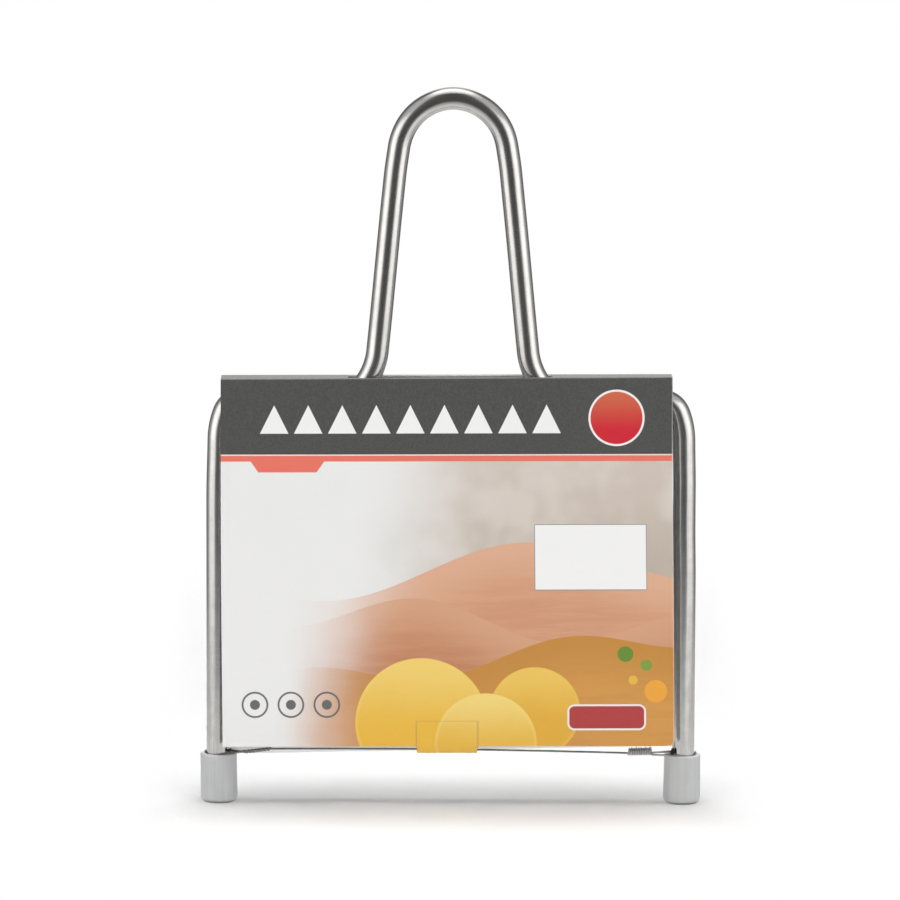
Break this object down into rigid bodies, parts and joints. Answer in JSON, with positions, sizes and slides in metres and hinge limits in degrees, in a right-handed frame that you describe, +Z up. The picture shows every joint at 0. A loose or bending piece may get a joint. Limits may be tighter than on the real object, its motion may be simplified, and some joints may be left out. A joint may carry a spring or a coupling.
{
  "type": "wire cheese knife",
  "caption": "Wire cheese knife bent from a steel rod, with a looped handle, foot caps, a wire that lifts along the notched legs, and a folded card sleeve over its shoulders.",
  "frame": {"origin": "on the resting surface, midway between the feet", "axes": "+Z up along the legs, +X from the left foot to the right one, and the front of the card sleeve faces -Y"},
  "size_m": [0.134, 0.0112, 0.1913],
  "materials": {
    "satin_steel": "satin",
    "drawn_wire": "drawn, dull",
    "cap_plastic": "matte",
    "coated_card": "printed and coated outside, white inside",
    "tongue_card": "printed and coated outside, white inside"
  },
  "bodies": {
    "knife": {"frame_rod": "satin_steel", "foot_cap_left": "cap_plastic", "foot_cap_right": "cap_plastic"},
    "wire": {"cutting_wire": "drawn_wire"},
    "sleeve": {"card_sleeve": "coated_card"},
    "tongue": {"closing_tongue": "tongue_card"}
  },
  "joints": [
    {"name": "wire_height", "type": "slide", "parent": "knife", "child": "wire", "axis": [0, 0, 1], "range_m": [0, 0.044]},
    {"name": "sleeve_lift", "type": "slide", "parent": "knife", "child": "sleeve", "axis": [0, 0, 1], "range_m": [0, 0.185]},
    {"name": "tongue_fold", "type": "hinge", "parent": "sleeve", "child": "tongue", "pos_m": [-0.0009, -0.00547, 0.0226], "axis": [-1, 0, 0], "range_deg": [0, 165]}
  ]
}
